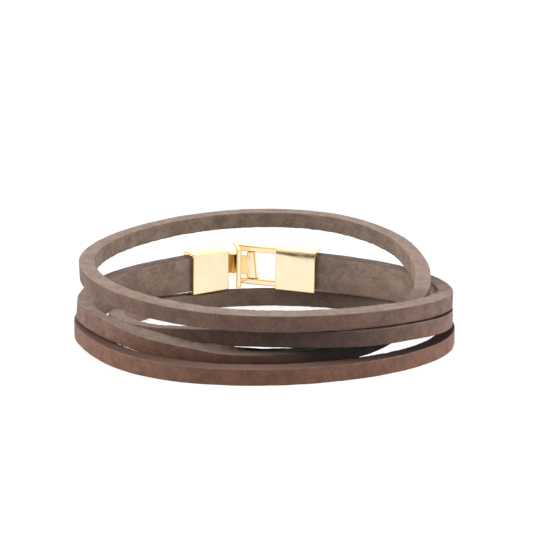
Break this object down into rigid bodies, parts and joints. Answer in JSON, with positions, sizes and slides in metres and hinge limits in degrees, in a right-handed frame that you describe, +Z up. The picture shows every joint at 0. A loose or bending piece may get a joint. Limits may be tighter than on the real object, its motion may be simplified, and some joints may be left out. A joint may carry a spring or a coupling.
{
  "type": "wrap bracelet",
  "caption": "Flat leather strap slit lengthwise into crossing strands, wound twice round the wrist and closed by a metal box clasp with a loop and a hook.",
  "frame": {"origin": "below the middle of the whole part, on the plane that it rests on", "axes": "+Z up from that plane; +X to the right, along the longest extent; +Y to the back, where the clasp is"},
  "size_m": [0.0634, 0.0584, 0.0172],
  "materials": {
    "leather": "reddish brown smooth grain outside, taupe cut edges and flesh side",
    "gold_plate": "polished pale gold plating"
  },
  "bodies": {
    "root": {"strap": "leather", "hook_cap": "gold_plate", "loop_cap": "gold_plate"}
  },
  "joints": []
}
